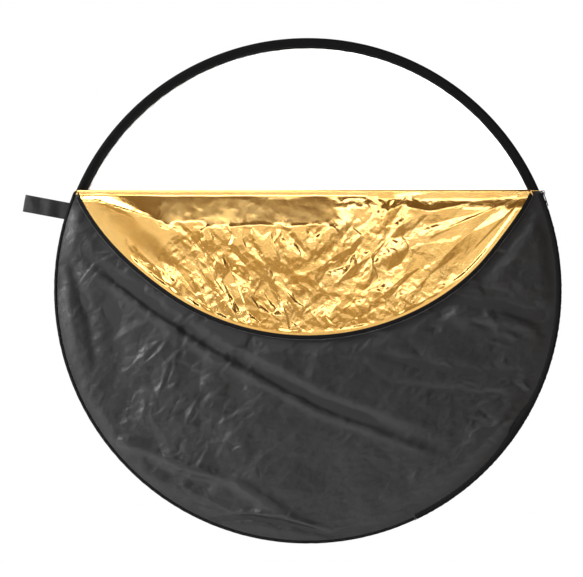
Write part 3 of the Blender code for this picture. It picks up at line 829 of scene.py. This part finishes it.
def tube(name, line, thickness, material):
    """A thin round filament along a line of points."""
    curve = bpy.data.curves.new(name, "CURVE")
    curve.dimensions = "3D"
    curve.bevel_depth = thickness / 2
    curve.bevel_resolution = 0
    curve.use_fill_caps = True
    spline = curve.splines.new("POLY")
    spline.points.add(len(line) - 1)
    weighted = np.concatenate([line, np.ones((len(line), 1))], axis=1)
    spline.points.foreach_set("co", weighted.astype(np.float32).ravel())
    curve.materials.append(material)
    return add_object(name, curve)


def make_closed_zip():
    """The zip below the slider: both tapes turned out to the rim, and the two halves of the coil meshed."""
    start, end = ZIP_BOTTOM + 0.4, SLIDER_ANGLE + 0.1
    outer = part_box("zip_tape_rear")[1].y
    for side, label in ((FRONT, "front"), (REAR, "rear")):
        face = side * outer
        profile = [
            (ZIP_RIM - 0.0007, side * 0.0034), (ZIP_RIM - 0.0001, side * 0.0036),
            (ZIP_RIM, side * (outer - 0.0012)), (ZIP_RIM - 0.0007, face),
            (ZIP_RIM - 0.0039, face * 1.09), (ZIP_HEM, face * 1.09), (ZIP_HEM, side * (outer + 0.0002)),
            (ZIP_RIM - 0.0041, side * (outer - 0.0008)), (ZIP_RIM - 0.0015, side * (outer - 0.0014)),
            (ZIP_RIM - 0.0012, side * 0.0040),
        ]

        def ripple(angles, radius, y, lean=side):
            pucker = noise(angles * 1.3, lean * 7, 1.0, 61) + 0.7 * noise(angles * 3.1, lean * 7, 1.0, 62)
            gather = 0.008 * np.exp(-(((angles + 32.0) / 5.0) ** 2))
            gather = gather * (1 + 0.5 * noise(angles * 0.6, lean, 1.0, 63))
            shift = np.where(radius > 0.545, 0.0007 * pucker, 0.0010 * pucker - gather)
            bulge = np.where(radius < 0.549, 0.0006 * pucker + 0.06 * gather, 0.0)
            return shift, lean * np.maximum(bulge, -0.0004)

        tape = sweep(f"closed_zip_tape_{label}", start, end, 420, profile, ZIP_TAPE, ripple)
        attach(tape, "disc")
        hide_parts(f"zip_tape_{label}")
        loops = int(math.radians(end - start) * ZIP_COIL / 0.0017)
        first = start + (0.05 if side > 0 else 0.0)
        line = coil_points(ZIP_COIL, side * 0.0016, first, end - 0.05, loops, 0.0009, 0.0014)
        coil = tube(f"closed_zip_teeth_{label}", line, 0.0007, COIL)
        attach(coil, "disc")
        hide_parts(f"zip_coil_{label}")


def make_flap_zip(side, body, label):
    """The open half of the zip along a flap's edge: knitted tape behind the foil, and its coil."""
    half = 0.0004

    def shift(angles):
        """How far the edge runs outside its mean radius."""
        extra = foil_edge(180.0 - angles if side > 0 else angles) - FLAP_EDGE
        return extra + 0.0006 * noise(angles * 0.8, side * 3, 1.0, 71)

    def depth(radius, angles):
        """How far out the tape lies: just behind the foil's hem."""
        across, up = radius * np.cos(np.radians(angles)), radius * np.sin(np.radians(angles))
        return side * (FOLD_Y + 0.0001 + hem_height(-side * across, up - FOLD_Z))

    inner, edge = 0.5205, 0.5390
    profile = [
        (inner, -half), (edge - 0.002, -half), (edge, -half * 0.6),
        (edge, half * 0.6), (edge - 0.002, half), (inner, half),
    ]

    def ripple(angles, radius, y):
        flutter = 0.0003 * noise(angles * 0.9, radius * 40, 1.0, 72)
        return shift(angles) + 0 * radius, depth(radius, angles) + flutter

    tape = sweep(f"{label}_flap_tape", FLAP_CORNER, 180.0 - FLAP_CORNER, 420, profile, ZIP_TAPE, ripple)
    mean_radius, pitch = 0.54, 0.0016
    loops = int(math.radians(180.0 - 2 * FLAP_CORNER) * mean_radius / pitch)
    line = coil_points(FLAP_COIL, 0.0, FLAP_CORNER, 179.3 - FLAP_CORNER, loops, 0.0010, 0.0009)
    degrees = np.degrees(np.arctan2(line[:, 2], line[:, 0]))
    line = line + on_rim(shift(degrees), depth(FLAP_COIL, degrees), degrees)
    coil = tube(f"{label}_flap_teeth", line, 0.0006, COIL)
    for obj, node, slot_name in (
        (tape, f"{label}_flap_zip_tape", "zip_tape"),
        (coil, f"{label}_flap_zip_coil", "zip_coil"),
    ):
        points = obj.data.vertices if obj.type == "MESH" else obj.data.splines[0].points
        for point in points:
            point.co[2] = 2 * FOLD_Z - point.co[2]
        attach(obj, body)
        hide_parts(node)
    tape.data.flip_normals()


# ---- hanging loop


def make_loop():
    """The hanging loop: a strap doubled back on itself, flat at the seam and open beyond."""
    heading = math.radians(LOOP_HEADING)
    out = Vector((math.cos(heading), 0.0, math.sin(heading)))
    across = Vector((-out.z, 0.0, out.x))
    length, width, strap = 0.0915, 0.037, 0.0011
    stations = 46
    half_open = 0.0052

    def leaf(s):
        share = np.clip((s - 0.007) / 0.032, 0, 1)
        return 0.0004 + (half_open - 0.0009) * share * share * (3 - 2 * share)

    s = np.linspace(-0.012, length - half_open, stations)
    bend = np.linspace(0, math.pi, 13)[1:-1]
    middle = [(a, leaf(a)) for a in s]
    middle += [(length - half_open + half_open * 0.9 * math.sin(b), leaf(length) * math.cos(b)) for b in bend]
    middle += [(a, -leaf(a)) for a in s[::-1]]
    middle = np.array(middle)
    tangent = np.gradient(middle, axis=0)
    tangent /= np.linalg.norm(tangent, axis=1, keepdims=True)
    normal = np.stack([-tangent[:, 1], tangent[:, 0]], axis=1)
    t = np.linspace(-1, 1, 15)
    raised = 0.35 * np.exp(-((np.abs(t) - 0.93) / 0.06) ** 2)
    welt = 1.0 + raised - 0.3 * np.exp(-((np.abs(t) - 0.86) / 0.03) ** 2)
    section = [(k, w * 0.5) for k, w in zip(t, welt)] + [(k, -w * 0.5) for k, w in zip(t[::-1], welt)]
    rows = []
    root = LOOP_SEAM
    for (a, y), (n_out, n_y) in zip(middle, normal):
        row = []
        free = min(1.0, max(0.0, a / 0.04))
        for k, w in section:
            droop = (0.0012 * math.sin(2.1 * k + a * 60) + 0.0009 * math.sin(a * 150 + k)) * free
            place = root + out * (a + n_out * w * strap) + across * (k * width / 2)
            row.append((place.x, y + n_y * w * strap + droop, place.z))
        rows.append(row)
    points = np.array(rows)
    lengths = np.concatenate([[0], np.cumsum(np.linalg.norm(np.diff(middle, axis=0), axis=1))])
    sideways = np.array([k for k, _ in section])[None, :] * width / 2
    uv = np.stack(np.broadcast_arrays(lengths[:, None], sideways), axis=-1)
    obj = grid_mesh("hanging_strap", points, STRAP, uv=uv, wrap=True, caps=True)
    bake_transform(obj)
    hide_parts("hanging_loop")

    def strap_row(spots, way, side, lift):
        """Stitches on one face of the strap at spots (a, k), along and across it."""
        places = []
        for a, k in spots:
            proud = Vector((0, side * (leaf(a) + strap * lift), 0))
            places.append(root + out * a + across * (k * width / 2) + proud)
        return places, [way] * len(places), [Vector((0, side, 0))] * len(places)

    rows = []
    for side in (FRONT, REAR):
        for k in (-0.86, 0.86):
            spots = [(a, k) for a in np.arange(0.012, length - 0.004, 0.0033)]
            rows.append(strap_row(spots, out, side, 0.42))
        for a in (0.0065, 0.0095):
            spots = [(a, k) for k in np.arange(-0.8, 0.81, 0.17)]
            rows.append(strap_row(spots, across, side, 0.45))
    stitches("hanging_strap_stitches", rows, 0.0025, 0.0006, 0.0004, THREAD, "loop")


# ---- what stays from the CAD


def dress_cad_nodes():
    looks = {
        "hoop_band": SPRING_STEEL, "hoop_ferrule": SPRING_STEEL, "zip_bottom_stop": ZIP_METAL,
        "front_flap_top_stop": ZIP_METAL, "rear_flap_top_stop": ZIP_METAL, "zip_slider": ZIP_METAL,
        "zip_pull": ZIP_METAL, "front_panel_gold": GOLD_PLAIN, "rear_panel_silver": SILVER_PLAIN,
    }
    for name, material in looks.items():
        mesh = frame["nodes"][name].data
        mesh.materials.clear()
        mesh.materials.append(material)


# ---- studio


def plain(name, colour, rough, glow=0.0):
    shader = Shader(name, Roughness=rough, Emission_Color=(*colour, 1.0), Emission_Strength=glow)
    dimmer = tuple(0.985 * c for c in colour)
    tone = shader.ramp(shader.noise(shader.local(), 2.0), [(0.3, dimmer), (0.7, colour)])
    return shader.connect(Base_Color=tone)


def soft_light(name, place, size, power, target=(0.0, 0.0, 0.0), colour=(1.0, 1.0, 1.0)):
    light = bpy.data.lights.new(name, "AREA")
    light.color = colour
    light.shape = "RECTANGLE"
    light.size, light.size_y = size
    light.energy = power
    obj = add_object(name, light)
    obj.location = place
    obj.rotation_euler = (Vector(target) - Vector(place)).to_track_quat("-Z", "Y").to_euler()
    obj.visible_camera = False


def make_world():
    """A studio for the foil to reflect: a dim, patchy room in front and a brighter one behind.

    The camera itself sees plain white."""
    world = bpy.data.worlds.new("studio")
    bpy.context.scene.world = world
    world.use_nodes = True
    tree = world.node_tree
    link = tree.links.new

    def node(kind, settings=(), **inputs):
        made = tree.nodes.new(kind)
        for key, value in dict(settings).items():
            setattr(made, key, value)
        for key, value in inputs.items():
            socket = made.inputs[key.replace("_", " ")]
            if isinstance(value, bpy.types.NodeSocket):
                link(value, socket)
            else:
                socket.default_value = value
        return made

    def fade(value, low, high):
        settings = {"interpolation_type": "SMOOTHSTEP"}
        made = node("ShaderNodeMapRange", settings, Value=value, From_Min=low, From_Max=high)
        return made.outputs["Result"]

    def blend(share, first, second):
        mixed = node("ShaderNodeMix", {"data_type": "RGBA"})
        link(share, mixed.inputs["Factor"])
        for key, colour in (("A", first), ("B", second)):
            if isinstance(colour, bpy.types.NodeSocket):
                link(colour, mixed.inputs[key])
            else:
                mixed.inputs[key].default_value = (*colour, 1.0)
        return mixed.outputs["Result"]

    direction = tree.nodes.new("ShaderNodeTexCoord").outputs["Generated"]
    axes = node("ShaderNodeSeparateXYZ", Vector=direction)
    patches = node("ShaderNodeTexNoise", Vector=direction, Scale=8.0, Detail=2.0).outputs["Fac"]
    room = blend(fade(patches, 0.34, 0.66), (0.20, 0.13, 0.07), (0.66, 0.54, 0.38))
    ceiling = blend(fade(patches, 0.38, 0.62), (0.11, 0.068, 0.032), (0.18, 0.115, 0.06))
    room = blend(fade(axes.outputs["Z"], 0.12, 0.19), room, ceiling)
    rear_room = blend(fade(patches, 0.36, 0.66), (0.10, 0.10, 0.105), (0.50, 0.50, 0.51))
    room = blend(fade(axes.outputs["Y"], -0.25, 0.25), room, rear_room)
    seen = tree.nodes.new("ShaderNodeLightPath").outputs["Is Camera Ray"]
    link(blend(seen, room, (1.0, 1.0, 1.0)), tree.nodes["Background"].inputs["Color"])


def make_studio():
    make_world()
    cool = (0.92, 0.99, 1.13)
    soft_light("front_card", (0.0, -3.65, 0.14), (2.5, 0.78), 3.7, (0.0, 0.0, 0.14), cool)
    soft_light("high_strip", (-0.35, -3.6, 0.85), (2.7, 0.18), 15.0, colour=cool)
    soft_light("left_softbox", (-1.75, -2.7, 0.35), (0.5, 1.0), 14.0, colour=cool)
    soft_light("side_left", (-2.3, -0.95, 0.95), (0.8, 0.8), 230.0)
    soft_light("overhead", (-1.0, -2.4, 2.9), (2.2, 1.2), 100.0)
    soft_light("rear_side", (2.2, 1.0, 0.9), (0.8, 0.8), 26.0)
    soft_light("rear_strip", (0.6, 3.4, 0.9), (2.2, 0.2), 7.0)
    ground = CAD_BOX[0][2] - 0.25
    half_width, front, back = 4.0, -1.3, 1.2
    mesh = bpy.data.meshes.new("floor")
    corners = [
        (-half_width, front, ground), (half_width, front, ground),
        (half_width, back, ground), (-half_width, back, ground),
    ]
    mesh.from_pydata(corners, [], [(0, 1, 2, 3)])
    mesh.materials.append(plain("pale_floor", (0.93, 0.93, 0.93), 0.9, 0.8))
    floor = add_object("floor", mesh)
    camera_data = bpy.data.cameras.new("camera")
    camera_data.lens, camera_data.sensor_width = 100.0, 36.0
    camera = add_object("camera", camera_data)
    camera.location = (-0.0351, -3.52, 0.0032)
    camera.rotation_euler = (math.pi / 2, 0.0, 0.0)
    bpy.context.scene.camera = camera
    bpy.context.scene.view_settings.view_transform = "Standard"


make_diffuser()
make_casing()
make_panel(FRONT, "front_panel_cloth", "front_panel_black", BLACK_NYLON)
make_panel(REAR, "rear_panel_cloth", "rear_panel_white", WHITE_NYLON)
make_flap(
    FRONT,
    ("front_flap_foil", "front_flap_gold", GOLD, "foil_gold"),
    ("front_flap_cloth", "front_flap_black", BLACK_NYLON, "nylon_black"),
    300,
)
make_flap(
    REAR,
    ("rear_flap_foil", "rear_flap_silver", SILVER, "foil_silver"),
    ("rear_flap_cloth", "rear_flap_white", WHITE_NYLON, "nylon_white"),
    500,
)
make_seam_binding()
make_closed_zip()
make_flap_zip(FRONT, "front_flap", "front")
make_flap_zip(REAR, "rear_flap", "rear")
make_loop()
dress_cad_nodes()
make_studio()
